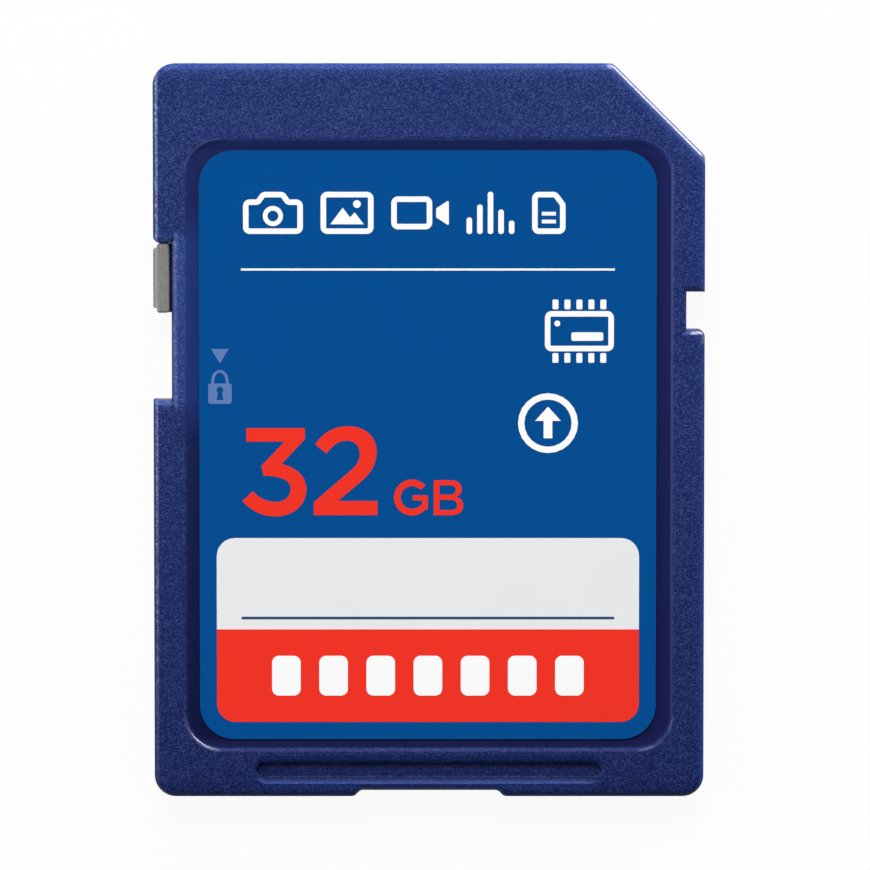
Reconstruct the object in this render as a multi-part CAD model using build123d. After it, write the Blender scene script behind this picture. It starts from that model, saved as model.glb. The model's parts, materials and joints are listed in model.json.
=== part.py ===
"""Full-size flash memory card: a two-part welded shell with a label, a lock slider and a loaded circuit board.

Millimetres. The card lies on its back: +X is the side of the cut corner, +Y is the end that goes into the
socket first, +Z is the label side. The origin is the middle of the card on the plane of its back face.
"""

import os

from build123d import *

# Outer form
CARD_WIDTH = 24.0
CARD_LENGTH = 32.0
CARD_THICKNESS = 2.1
CORNER_RADIUS = 0.93
CORNER_CUT = 4.0
CORNER_CUT_ROUND = 0.4
RAIL_WIDTH = 0.8
RAIL_THICKNESS = 1.4
SEAM_ABOVE_RAIL = 0.45
EDGE_ROUND = 0.27
BACK_EDGE_ROUND = 0.15
LEAD_BEVEL = 0.3
SEAM_BEVEL = 0.04

# Notches in the rails and the thumb relief in the tail edge
LOCK_NOTCH_FROM_LEAD = 7.79
LOCK_NOTCH_LENGTH = 6.84
KEY_NOTCH_FROM_LEAD = 9.91
KEY_NOTCH_LENGTH = 1.66
NOTCH_ROUND = 0.3
RELIEF_WIDTH = 6.0
RELIEF_DEPTH = 0.27
RELIEF_ROUND = 0.3

# Label, its recess and the finger groove in the front face
LABEL_FROM_SIDE = 2.05
LABEL_FROM_LEAD = 3.76
LABEL_FROM_TAIL = 2.53
LABEL_OFF_MIDDLE = 0.05
LABEL_THICKNESS = 0.1
LABEL_RADIUS = 1.5
RECESS_SIDE_GAP = 0.62
RECESS_END_GAP = 0.39
RECESS_DEPTH = 0.2
RECESS_ROUND = 0.18
GROOVE_FROM_SIDE = 4.35
GROOVE_FROM_TAIL = 0.57
GROOVE_WIDTH = 1.25
GROOVE_SHOULDER_WIDTH = 0.89
GROOVE_BED_WIDTH = 0.54
GROOVE_DEPTH = 0.32
GROOVE_SHOULDER_DEPTH = 0.1
GROOVE_RIM = 0.11
GROOVE_CATCH_RUN = 0.29
GROOVE_END_RUN = 0.2

# Walls of the two shells
SIDE_WALL = 1.25
LEAD_WALL = 0.8
TAIL_WALL = 1.9
ROOF = 0.2
FLOOR = 0.3
PEG_RADIUS = 0.28
PEG_CLEARANCE = 0.03
PEG_HOLE_FLOOR = 0.12
WALL_PEG_FROM_LEAD = 5.8
TAIL_PEG_FROM_SIDE = 2.5
POST_RADIUS = 0.4
POST_FROM_SIDE = 2.5
LEAD_POST_FROM_LEAD = 4.5
TAIL_POST_INSET = 0.8
POCKET_COUNT = 3
POCKET_RIB = 0.7
POCKET_LEDGE = 0.75
POCKET_RADIUS = 0.5
POCKET_FROM_LEAD = 7.4

# Circuit board and its contacts
BOARD_THICKNESS = 0.3
BOARD_CLEARANCE = 0.1
BOARD_CORNER = 0.5
CONTACT_THICKNESS = 0.04
CONTACT_LENGTH = 4.0
CONTACT_WIDTH = 1.6
NARROW_CONTACT_WIDTH = 1.1
CONTACT_FROM_LEAD = 1.2
CORNER_CONTACT_FROM_LEAD = 3.3
CORNER_CONTACT_LENGTH = 3.1
CORNER_CONTACT_FROM_SIDE = 2.4
LAST_CONTACT_FROM_SIDE = 2.48
SEVENTH_STEP_SHORT = 0.08
EIGHTH_STEP_SHORT = 0.8
WINDOW_CLEARANCE = 0.1

# Electronic pieces on the board
CHIP_HEADROOM = 0.06
MEMORY_WIDTH = 17.0
MEMORY_LENGTH = 12.0
MEMORY_FROM_TAIL = 9.5
CONTROLLER_SIDE = 6.0
CONTROLLER_FROM_SIDE = 9.0
CONTROLLER_FROM_LEAD = 10.0
PACKAGE_BEVEL = 0.05
PIN_MARK_RADIUS = 0.4
PIN_MARK_DEPTH = 0.05
PIN_MARK_INSET = 1.0
PASSIVE_LENGTH = 1.0
PASSIVE_WIDTH = 0.5
CAPACITOR_HEADROOM = 0.16
RESISTOR_HEADROOM = 0.31
TERMINAL_LENGTH = 0.25
TERMINAL_STEP = 0.02
PASSIVE_GAP = 0.3
PASSIVE_FROM_SIDE = 3.1
CAPACITOR_FROM_LEAD = 7.6
RESISTOR_FROM_LEAD = 10.0
CAPACITOR_COUNT = 5
RESISTOR_COUNT = 4

# Lock slider
SLIDER_LENGTH = 3.0
SLIDER_END_GAP = 0.03
SLIDER_WALL_GAP = 0.12
SLIDER_FACE_INSET = 0.08
SLIDER_BEVEL = 0.07
GRIP_HEIGHT = 0.17
GRIP_END_INSET = 0.2
GRIP_FACE_INSET = 0.12
GRIP_ROUND = 0.1
NECK_THICKNESS = 0.29
FOOT_END_INSET = 0.4
FOOT_WIDTH = 0.3
FOOT_GRASP = 0.27
RUN_CLEARANCE = 0.04

# Levels and places that follow from the sizes above
LEAD = CARD_LENGTH / 2
TAIL = -CARD_LENGTH / 2
SIDE = CARD_WIDTH / 2
RAIL_LEVEL = CARD_THICKNESS - RAIL_THICKNESS
SEAM_LEVEL = RAIL_LEVEL + SEAM_ABOVE_RAIL
SEAT_LEVEL = RAIL_LEVEL + CONTACT_THICKNESS
BOARD_TOP = SEAT_LEVEL + BOARD_THICKNESS
RECESS_LEVEL = CARD_THICKNESS - RECESS_DEPTH
CEILING_LEVEL = RECESS_LEVEL - ROOF
LABEL_WIDTH = CARD_WIDTH - 2 * LABEL_FROM_SIDE
LABEL_LENGTH = CARD_LENGTH - LABEL_FROM_LEAD - LABEL_FROM_TAIL
LABEL_Y = LEAD - LABEL_FROM_LEAD - LABEL_LENGTH / 2
RAIL_X = SIDE - RAIL_WIDTH
CAVITY_SIDE = SIDE - SIDE_WALL
CAVITY_LEAD = LEAD - LEAD_WALL
CAVITY_TAIL = TAIL + TAIL_WALL
LOCK_NOTCH_Y = LEAD - LOCK_NOTCH_FROM_LEAD - LOCK_NOTCH_LENGTH / 2
KEY_NOTCH_Y = LEAD - KEY_NOTCH_FROM_LEAD - KEY_NOTCH_LENGTH / 2
SLIDER_TRAVEL = LOCK_NOTCH_LENGTH - SLIDER_LENGTH - 2 * SLIDER_END_GAP
SLIDER_Y = LOCK_NOTCH_Y + SLIDER_TRAVEL / 2
FOOT_LENGTH = SLIDER_LENGTH - 2 * FOOT_END_INSET
FOOT_OUTER = -CAVITY_SIDE + RUN_CLEARANCE
FOOT_INNER = FOOT_OUTER + FOOT_WIDTH
NECK_BOTTOM = SEAM_LEVEL + RUN_CLEARANCE
SLIT_TOP = NECK_BOTTOM + NECK_THICKNESS + RUN_CLEARANCE
PEG_HOLE_BOTTOM = RAIL_LEVEL + PEG_HOLE_FLOOR
OVERCUT = 1.0


def slab(profile, bottom, top):
    """A flat profile raised from one level to another."""
    return extrude(Pos(0, 0, bottom) * profile, amount=top - bottom)


def block(low, high):
    """A plain block between two corners."""
    size = [b - a for a, b in zip(low, high)]
    middle = [(a + b) / 2 for a, b in zip(low, high)]
    return Pos(*middle) * Box(*size)


def vertices_at(profile, points):
    """The vertices of a flat profile that lie nearest to the given points."""
    return [profile.vertices().sort_by_distance((x, y, 0))[0] for x, y in points]


def cut_corner_rectangle(side, lead, tail, cut_reach):
    """A rectangle whose leading right corner is cut at 45 degrees where x + y reaches cut_reach."""
    return make_face(
        Polyline(
            (-side, tail),
            (side, tail),
            (side, cut_reach - side),
            (cut_reach - lead, lead),
            (-side, lead),
            close=True,
        )
    )


def inset_reach(wall):
    """Where the 45 degree cut lies, as x + y, once it is moved in by a wall."""
    return SIDE + LEAD - CORNER_CUT - wall * 2**0.5


def card_outline():
    """The plan of the rails: cut corner, two notches and the thumb relief, with its upright edges rounded."""
    plan = cut_corner_rectangle(SIDE, LEAD, TAIL, inset_reach(0))
    corners = [(-SIDE, LEAD), (-SIDE, TAIL), (SIDE, TAIL)]
    plan = fillet(vertices_at(plan, corners), CORNER_RADIUS)
    cut_ends = [(SIDE - CORNER_CUT, LEAD), (SIDE, LEAD - CORNER_CUT)]
    plan = fillet(vertices_at(plan, cut_ends), CORNER_CUT_ROUND)

    plan -= Pos(-SIDE, LOCK_NOTCH_Y) * Rectangle(2 * RAIL_WIDTH, LOCK_NOTCH_LENGTH)
    plan -= Pos(SIDE, KEY_NOTCH_Y) * Rectangle(2 * RAIL_WIDTH, KEY_NOTCH_LENGTH)
    notch_corners = [
        (-SIDE, LOCK_NOTCH_Y + LOCK_NOTCH_LENGTH / 2),
        (SIDE, KEY_NOTCH_Y - KEY_NOTCH_LENGTH / 2),
    ]
    plan = fillet(vertices_at(plan, notch_corners), NOTCH_ROUND)
    return with_relief(plan)


def with_relief(plan):
    """The plan with the shallow thumb relief taken out of its tail edge."""
    half = RELIEF_WIDTH / 2
    plan -= Polygon(
        (-half, TAIL + RELIEF_DEPTH),
        (-half - 2 * RELIEF_DEPTH, TAIL - RELIEF_DEPTH),
        (half + 2 * RELIEF_DEPTH, TAIL - RELIEF_DEPTH),
        (half, TAIL + RELIEF_DEPTH),
        align=None,
    )
    corners = [(sign * half, TAIL + RELIEF_DEPTH) for sign in (-1, 1)]
    corners += [(sign * (half + RELIEF_DEPTH), TAIL) for sign in (-1, 1)]
    return fillet(vertices_at(plan, corners), RELIEF_ROUND)


def back_outline():
    """The plan of the raised back, which stops short of both rails."""
    plan = cut_corner_rectangle(RAIL_X, LEAD, TAIL, inset_reach(0))
    corners = [(-RAIL_X, LEAD), (-RAIL_X, TAIL), (RAIL_X, TAIL)]
    plan = fillet(vertices_at(plan, corners), CORNER_RADIUS - BACK_EDGE_ROUND)
    return with_relief(plan)


def cavity_outline(gap=0.0):
    """The plan of the hollow between the shells, drawn in by a gap for what lies inside it."""
    return cut_corner_rectangle(
        CAVITY_SIDE - gap, CAVITY_LEAD - gap, CAVITY_TAIL + gap, inset_reach(LEAD_WALL + gap)
    )


def peg_places():
    """Middles of the pegs that line the two shells up: two in the side walls and two in the tail."""
    wall_x = SIDE - SIDE_WALL / 2
    tail_x = SIDE - TAIL_PEG_FROM_SIDE
    places = [(sign * wall_x, LEAD - WALL_PEG_FROM_LEAD) for sign in (-1, 1)]
    return places + [(sign * tail_x, TAIL + TAIL_WALL / 2) for sign in (-1, 1)]


def post_places():
    """Middles of the posts that hold the board down on its seat."""
    rows = (LEAD - LEAD_POST_FROM_LEAD, CAVITY_TAIL + TAIL_POST_INSET)
    return [(sign * (SIDE - POST_FROM_SIDE), y) for y in rows for sign in (-1, 1)]


def pillar(place, radius, bottom, top):
    """An upright round pillar."""
    return slab(Pos(*place) * Circle(radius), bottom, top)


def contact_places():
    """For each contact: its number, middle across the card, leading end, length and width."""
    corner_x = SIDE - CORNER_CONTACT_FROM_SIDE
    places = [(9, corner_x, LEAD - CORNER_CONTACT_FROM_LEAD, CORNER_CONTACT_LENGTH, CONTACT_WIDTH)]
    shortening = [0] * 6 + [SEVENTH_STEP_SHORT, EIGHTH_STEP_SHORT]
    widths = [CONTACT_WIDTH] * 6 + [NARROW_CONTACT_WIDTH] * 2
    field = CARD_WIDTH - CORNER_CONTACT_FROM_SIDE - LAST_CONTACT_FROM_SIDE
    pitch = (field + sum(shortening)) / len(shortening)
    x = corner_x
    for number, (short, width) in enumerate(zip(shortening, widths), start=1):
        x -= pitch - short
        places.append((number, x, LEAD - CONTACT_FROM_LEAD, CONTACT_LENGTH, width))
    return places


def label_recess():
    """The shallow bed that the label lies in."""
    plan = RectangleRounded(
        LABEL_WIDTH + 2 * RECESS_SIDE_GAP, LABEL_LENGTH + 2 * RECESS_END_GAP, LABEL_RADIUS
    )
    return slab(Pos(0, LABEL_Y) * plan, RECESS_LEVEL, CARD_THICKNESS + OVERCUT)


def groove_section(width, from_catch, from_ends, depth):
    """A slot at some depth of the groove, drawn in from the groove's tail edge and its ends at the face."""
    length = CARD_WIDTH - 2 * (GROOVE_FROM_SIDE + from_ends)
    middle = TAIL + GROOVE_FROM_TAIL + from_catch + width / 2
    return Pos(0, middle, CARD_THICKNESS - depth) * SlotOverall(length, width)


def finger_groove():
    """The groove across the tail of the front face: a soft ramp down, then the wall that a nail catches."""
    face = groove_section(GROOVE_WIDTH, 0, 0, 0)
    shoulder = groove_section(GROOVE_SHOULDER_WIDTH, GROOVE_RIM, GROOVE_RIM, GROOVE_SHOULDER_DEPTH)
    bed = groove_section(GROOVE_BED_WIDTH, GROOVE_CATCH_RUN, GROOVE_END_RUN, GROOVE_DEPTH)
    return loft([bed, shoulder, face])


def front_shell():
    """Label-side shell: outer form, label bed, finger groove, hollow, slider slit, pegs and posts."""
    shell = slab(card_outline(), SEAM_LEVEL, CARD_THICKNESS)
    shell = fillet(shell.faces().sort_by(Axis.Z)[-1].outer_wire().edges(), EDGE_ROUND)
    shell = chamfer(shell.faces().sort_by(Axis.Z)[0].outer_wire().edges(), SEAM_BEVEL)
    shell -= label_recess()
    recess_rim = shell.faces().sort_by(Axis.Z)[-1].inner_wires()[0]
    shell = fillet(recess_rim.edges(), RECESS_ROUND)
    shell -= finger_groove()

    shell -= slab(cavity_outline(), SEAM_LEVEL - OVERCUT, CEILING_LEVEL)
    shell -= block(
        (-SIDE, LOCK_NOTCH_Y - LOCK_NOTCH_LENGTH / 2, SEAM_LEVEL - OVERCUT),
        (-CAVITY_SIDE + RUN_CLEARANCE, LOCK_NOTCH_Y + LOCK_NOTCH_LENGTH / 2, SLIT_TOP),
    )
    for place in peg_places():
        shell += pillar(place, PEG_RADIUS, PEG_HOLE_BOTTOM + PEG_CLEARANCE, SEAM_LEVEL)
    for place in post_places():
        shell += pillar(place, POST_RADIUS, BOARD_TOP, CEILING_LEVEL)
    return shell


def contact_channels():
    """The ways from the leading edge to each contact: through the lead wall below it, and up to the board inside."""
    hollow = slab(cavity_outline(), -OVERCUT, SEAT_LEVEL + OVERCUT)
    channels = []
    for _, x, lead_end, length, width in contact_places():
        half = width / 2 + WINDOW_CLEARANCE
        tail_end = lead_end - length - WINDOW_CLEARANCE
        way = block((x - half, tail_end, -OVERCUT), (x + half, LEAD + OVERCUT, RAIL_LEVEL))
        window = block((x - half, tail_end, -OVERCUT), (x + half, LEAD + OVERCUT, SEAT_LEVEL + OVERCUT))
        channels += [way, window & hollow]
    return channels


def lead_wedge():
    """What the lead-in bevel takes off the leading edge of the back."""
    profile = Polygon(
        (LEAD - 2 * LEAD_BEVEL, -LEAD_BEVEL),
        (LEAD + LEAD_BEVEL, -LEAD_BEVEL),
        (LEAD + LEAD_BEVEL, 2 * LEAD_BEVEL),
        align=None,
    )
    return extrude(Plane.YZ * profile, amount=SIDE, both=True)


def floor_pockets():
    """Shallow pockets under the board that leave ribs and a ledge for it to lie on."""
    width = (2 * (CAVITY_SIDE - POCKET_LEDGE) - (POCKET_COUNT - 1) * POCKET_RIB) / POCKET_COUNT
    lead_end = LEAD - POCKET_FROM_LEAD
    tail_end = CAVITY_TAIL + POCKET_LEDGE
    plan = RectangleRounded(width, lead_end - tail_end, POCKET_RADIUS)
    middle = (POCKET_COUNT - 1) / 2
    return [
        slab(
            Pos((i - middle) * (width + POCKET_RIB), (lead_end + tail_end) / 2) * plan,
            FLOOR,
            SEAT_LEVEL + OVERCUT,
        )
        for i in range(POCKET_COUNT)
    ]


def rear_shell():
    """Contact-side shell: rails, raised back, board seat, contact channels, pockets and peg holes."""
    back = slab(back_outline(), 0, RAIL_LEVEL)
    back = fillet(back.faces().sort_by(Axis.Z)[0].edges(), BACK_EDGE_ROUND)
    back -= lead_wedge()
    rails = slab(card_outline(), RAIL_LEVEL, SEAM_LEVEL)
    rails = chamfer(rails.faces().sort_by(Axis.Z)[-1].outer_wire().edges(), SEAM_BEVEL)
    shell = rails + back
    shell -= slab(cavity_outline(), SEAT_LEVEL, SEAM_LEVEL + OVERCUT)
    for cut in contact_channels() + floor_pockets():
        shell -= cut
    for place in peg_places():
        shell -= pillar(place, PEG_RADIUS + PEG_CLEARANCE, PEG_HOLE_BOTTOM, SEAM_LEVEL + OVERCUT)
    return shell


def front_label():
    """The printed film in the recess, stuck a little nearer to the slider's side."""
    plan = RectangleRounded(LABEL_WIDTH, LABEL_LENGTH, LABEL_RADIUS)
    return slab(Pos(-LABEL_OFF_MIDDLE, LABEL_Y) * plan, RECESS_LEVEL, RECESS_LEVEL + LABEL_THICKNESS)


def circuit_board():
    """The board, cut away along the path of the slider's foot."""
    plan = cavity_outline(BOARD_CLEARANCE)
    corners = [
        (-CAVITY_SIDE + BOARD_CLEARANCE, CAVITY_LEAD - BOARD_CLEARANCE),
        (-CAVITY_SIDE + BOARD_CLEARANCE, CAVITY_TAIL + BOARD_CLEARANCE),
        (CAVITY_SIDE - BOARD_CLEARANCE, CAVITY_TAIL + BOARD_CLEARANCE),
    ]
    plan = fillet(vertices_at(plan, corners), BOARD_CORNER)
    path_half = (FOOT_LENGTH + SLIDER_TRAVEL) / 2 + BOARD_CLEARANCE
    path_inner = FOOT_INNER + BOARD_CLEARANCE
    path_outer = -CAVITY_SIDE - BOARD_CLEARANCE
    path = Rectangle(path_inner - path_outer, 2 * path_half)
    plan -= Pos((path_inner + path_outer) / 2, LOCK_NOTCH_Y) * path
    return slab(plan, SEAT_LEVEL, BOARD_TOP)


def contact(x, lead_end, length, width):
    """One gold-plated contact on the underside of the board."""
    return block(
        (x - width / 2, lead_end - length, RAIL_LEVEL), (x + width / 2, lead_end, SEAT_LEVEL)
    )


def chip_package(x, y, width, length):
    """A flat moulded package with its upper edges bevelled and a round mark beside its first pin."""
    height = CEILING_LEVEL - CHIP_HEADROOM - BOARD_TOP
    package = slab(Pos(x, y) * Rectangle(width, length), BOARD_TOP, BOARD_TOP + height)
    package = chamfer(package.faces().sort_by(Axis.Z)[-1].edges(), PACKAGE_BEVEL)
    mark = (x - width / 2 + PIN_MARK_INSET, y + length / 2 - PIN_MARK_INSET)
    mark_bottom = BOARD_TOP + height - PIN_MARK_DEPTH
    return package - pillar(mark, PIN_MARK_RADIUS, mark_bottom, mark_bottom + OVERCUT)


def passive(x, y, height):
    """A small two-ended component, its metal ends a little thicker than its middle."""
    body = block(
        (x - PASSIVE_LENGTH / 2, y - PASSIVE_WIDTH / 2 + TERMINAL_STEP, BOARD_TOP),
        (x + PASSIVE_LENGTH / 2, y + PASSIVE_WIDTH / 2 - TERMINAL_STEP, BOARD_TOP + height - TERMINAL_STEP),
    )
    for sign in (-1, 1):
        outer = x + sign * PASSIVE_LENGTH / 2
        inner = outer - sign * TERMINAL_LENGTH
        body += block(
            (min(outer, inner), y - PASSIVE_WIDTH / 2, BOARD_TOP),
            (max(outer, inner), y + PASSIVE_WIDTH / 2, BOARD_TOP + height),
        )
    return body


def lock_slider():
    """The write-lock slider: a block in the notch with a raised grip, and a T-shaped foot held inside the wall."""
    block_outer = -SIDE + GRIP_HEIGHT
    block_inner = -RAIL_X - SLIDER_WALL_GAP
    bottom = RAIL_LEVEL + SLIDER_FACE_INSET
    top = CARD_THICKNESS - SLIDER_FACE_INSET
    low_y = SLIDER_Y - SLIDER_LENGTH / 2
    high_y = SLIDER_Y + SLIDER_LENGTH / 2
    body = block((block_outer, low_y, bottom), (block_inner, high_y, top))
    body = chamfer(body.edges(), SLIDER_BEVEL)

    grip = block(
        (-SIDE, low_y + GRIP_END_INSET, bottom + GRIP_FACE_INSET),
        (block_outer + SLIDER_BEVEL, high_y - GRIP_END_INSET, top - GRIP_FACE_INSET),
    )
    grip = fillet(grip.faces().sort_by(Axis.X)[0].edges(), GRIP_ROUND)

    neck = block(
        (block_inner - SLIDER_BEVEL, low_y, NECK_BOTTOM),
        (FOOT_OUTER, high_y, NECK_BOTTOM + NECK_THICKNESS),
    )
    foot = block(
        (FOOT_OUTER, low_y + FOOT_END_INSET, SEAM_LEVEL - FOOT_GRASP),
        (FOOT_INNER, high_y - FOOT_END_INSET, CEILING_LEVEL - RUN_CLEARANCE),
    )
    return body + grip + neck + foot


def passive_row(name, count, y, headroom):
    """A row of like components from the right side inwards, by node name."""
    height = CEILING_LEVEL - headroom - BOARD_TOP
    pitch = PASSIVE_LENGTH + PASSIVE_GAP
    first_x = SIDE - PASSIVE_FROM_SIDE
    return {f"{name}_{i + 1}": passive(first_x - i * pitch, y, height) for i in range(count)}


def all_pieces():
    """Every piece of the card by its node name."""
    controller_place = (-SIDE + CONTROLLER_FROM_SIDE, LEAD - CONTROLLER_FROM_LEAD)
    pieces = {
        "front_shell": front_shell(),
        "rear_shell": rear_shell(),
        "front_label": front_label(),
        "lock_slider": lock_slider(),
        "circuit_board": circuit_board(),
        "memory_chip": chip_package(0, TAIL + MEMORY_FROM_TAIL, MEMORY_WIDTH, MEMORY_LENGTH),
        "controller_chip": chip_package(*controller_place, CONTROLLER_SIDE, CONTROLLER_SIDE),
    }
    for number, x, lead_end, length, width in contact_places():
        pieces[f"contact_{number}"] = contact(x, lead_end, length, width)
    pieces |= passive_row("capacitor", CAPACITOR_COUNT, LEAD - CAPACITOR_FROM_LEAD, CAPACITOR_HEADROOM)
    pieces |= passive_row("resistor", RESISTOR_COUNT, LEAD - RESISTOR_FROM_LEAD, RESISTOR_HEADROOM)
    return pieces


os.makedirs("parts", exist_ok=True)
for node, piece in all_pieces().items():
    export_step(piece, f"parts/{node}.step")
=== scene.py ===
"""Looks of a full-size flash memory card: moulded shells, printed label, lock slider, board and studio."""

import json
import math

import bmesh
import bpy
from bpy.props import FloatProperty, FloatVectorProperty, IntProperty, PointerProperty
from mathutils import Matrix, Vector
from mathutils.geometry import tessellate_polygon


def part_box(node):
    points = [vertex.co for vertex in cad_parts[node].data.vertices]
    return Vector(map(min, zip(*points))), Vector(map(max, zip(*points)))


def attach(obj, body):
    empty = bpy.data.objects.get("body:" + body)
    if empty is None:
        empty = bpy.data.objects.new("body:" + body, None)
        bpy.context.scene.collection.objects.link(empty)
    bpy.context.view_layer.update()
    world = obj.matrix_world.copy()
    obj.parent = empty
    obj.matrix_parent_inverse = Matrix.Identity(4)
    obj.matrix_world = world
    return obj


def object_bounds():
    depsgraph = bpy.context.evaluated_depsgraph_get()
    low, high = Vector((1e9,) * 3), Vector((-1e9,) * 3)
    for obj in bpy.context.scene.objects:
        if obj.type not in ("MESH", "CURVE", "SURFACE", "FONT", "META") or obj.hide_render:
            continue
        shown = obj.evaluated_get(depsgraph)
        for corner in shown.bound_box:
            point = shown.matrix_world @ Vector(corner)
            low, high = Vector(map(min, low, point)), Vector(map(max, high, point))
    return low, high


bl_info = {
    "name": "Memory card looks",
    "version": (1, 0, 0),
    "blender": (4, 5, 0),
    "location": "3D View > Sidebar > Memory card",
    "description": "Finishes a flash memory card: shells, printed label, lock slider, board and studio",
    "category": "Object",
}

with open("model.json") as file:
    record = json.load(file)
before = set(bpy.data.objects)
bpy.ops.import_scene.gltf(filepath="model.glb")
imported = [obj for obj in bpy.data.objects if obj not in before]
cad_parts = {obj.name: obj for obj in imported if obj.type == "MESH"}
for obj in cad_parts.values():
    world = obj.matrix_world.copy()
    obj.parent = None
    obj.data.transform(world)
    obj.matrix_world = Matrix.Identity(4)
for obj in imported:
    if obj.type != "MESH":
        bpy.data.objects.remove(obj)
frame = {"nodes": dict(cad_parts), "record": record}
CAD_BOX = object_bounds()

MM = 0.001
LABEL_LOW, LABEL_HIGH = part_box("front_label")
FRONT_LOW, FRONT_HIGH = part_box("front_shell")
SLIDER_LOW, SLIDER_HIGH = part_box("lock_slider")
CHIPS = ["memory_chip", "controller_chip"]

SLIDE_RANGE = frame["record"]["behaviour"]["joints"][0]["range_m"][1]
NOTCH_TOP = SLIDER_HIGH.y
NOTCH_FOOT = SLIDER_LOW.y - SLIDE_RANGE
PRINT_X = (LABEL_LOW.x + LABEL_HIGH.x) / 2

# Painted lines of light and shade: middle and half width in millimetres, and strength.
GROOVE_RIM_GLOW = (0.20, 0.19, 0.30)
GROOVE_SHADE = (-0.11, 0.10, 0.80)
GROOVE_UPPER_SHADE = (-0.18, 0.15, 0.80)
GROOVE_HIGHLIGHT = (0.0, 0.06, 1.0)
GROOVE_GLINTS = (-0.24, 0.06, 1.0)
NOTCH_SHADE = (0.04, 0.07, 0.75)
BED_TOP_WALL_LIGHT = (0.03, 0.13, 1.0)
BED_SIDE_WALL_HIGHLIGHT = (0.0, 0.07, 1.0)
SLIDER_EDGE_SHADE = (0.05, 0.04, -1.1)
SLIDER_RIDGE_HIGHLIGHT = (0.13, 0.06, 0.45)
SLIDER_BEVEL_LIGHT = (0.67, 0.06, 0.7)

# Lengths in the finishes and the marks, in metres.
GROOVE_END = 0.3 * MM
NOTCH_HIGHLIGHT_SHIFT = 0.035 * MM
LABEL_EDGE = 0.1 * MM
TOP_WALL_FADE = 1.2 * MM
KEYED_STRIP = 2.0 * MM
KEYED_FADE = 0.3 * MM
INK_GRAIN = 0.05 * MM
INK_DRIFT = 2.5 * MM
INK_RELIEF = 0.0008 * MM
SLIDER_STREAK = 0.06 * MM
SLIDER_FADE = 0.03 * MM
TRACE_PITCH = 0.5 * MM
TRACE_BEND = 6.0 * MM
WEAVE = 0.12 * MM
BOARD_RELIEF = 0.012 * MM
GOLD_LINE = 0.05 * MM
GOLD_SPOT = 0.5 * MM
GOLD_RELIEF = 0.003 * MM
RESIN_GRAIN = 0.06 * MM
RESIN_RELIEF = 0.006 * MM
PART_GRAIN = 0.05 * MM
PART_RELIEF = 0.004 * MM
TIN_FADE = 0.02 * MM
MERGE_DISTANCE = 1e-7

# Factors in the finishes and the marks.
LIT_SPARKS = 1.6
DRIFT_GRAINS = 80.0
# DEEP_GLOW darkens the edge colour for the groove's painted shade.
DEEP_GLOW = 0.3
BED_LIGHT_FADE = 3.0
INK_SPREAD = 0.03
PALE_RESIN = 2.4
PALE_CERAMIC = 0.06
TIN_FROM = 0.29
PIN_CORNER = 0.2

# Print: an angle in degrees, numbers of steps and sizes in millimetres.
ARC_STEP = 15.0
CURVE_STEPS = 10
INK_SINK = 0.001
SIGN_HEIGHT = 1.83
SIGN_CORNER = 0.17
SOUND_BARS = (0.72, 1.28, 1.83, 1.06, 0.58)
SOUND_PITCH = 0.46
CHIP_MARK_INSET = 0.42
CHIP_MARK_RADIUS = 0.13
MARK_STEPS = 6

# Stage: the floor in metres, the sensor in millimetres, and the tones of the surroundings.
FLOOR_HALF = 4.0
FLOOR_CUTS = 4
FLOOR_GAP = 0.02 * MM
FLOOR_GLOW = 0.93
SENSOR = 36.0
HORIZON = 0.16
OVERHEAD = 0.06
OVERHEAD_FROM = 0.6

# Lamps: place, width and height in metres, and the name of the power.
LAMPS = {
    "key_lamp": ((-0.045, 0.42, 0.50), 0.24, 0.24, "key_power"),
    "rim_lamp": ((0.0, 0.60, 0.12), 0.45, 0.075, "rim_power"),
    "left_fill_lamp": ((-0.22, 0.0, 0.22), 0.14, 0.14, "fill_power"),
    "right_fill_lamp": ((0.22, 0.0, 0.22), 0.14, 0.14, "fill_power"),
    "tail_fill_lamp": ((0.0, -0.22, 0.22), 0.14, 0.14, "tail_power"),
    "left_lamp": ((-0.25, 0.02, 0.08), 0.08, 0.08, "left_power"),
    "edge_lamp": ((0.177, 0.226, 0.05), 0.20, 0.06, "edge_power"),
}

# Sockets of a Mix node for colours.
MIX_FACTOR = 0
MIX_FIRST = 6
MIX_SECOND = 7
MIX_RESULT = 2


def length(name, description, millimetres):
    """A size that is shown as a length."""
    size = millimetres * MM
    return FloatProperty(name=name, description=description, default=size, unit="LENGTH", precision=5)


def colour(name, description, value):
    """A linear colour."""
    return FloatVectorProperty(
        name=name, description=description, default=value, subtype="COLOR", size=3, min=0.0, max=1.0
    )


def share(name, description, value):
    """A number from nothing to all."""
    return FloatProperty(
        name=name, description=description, default=value, min=0.0, max=1.0, subtype="FACTOR"
    )


def count(name, description, value):
    """A number of like things."""
    return IntProperty(name=name, description=description, default=value, min=1)


def power(name, description, watts):
    """The power of a lamp."""
    return FloatProperty(name=name, description=description, default=watts, unit="POWER")


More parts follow.
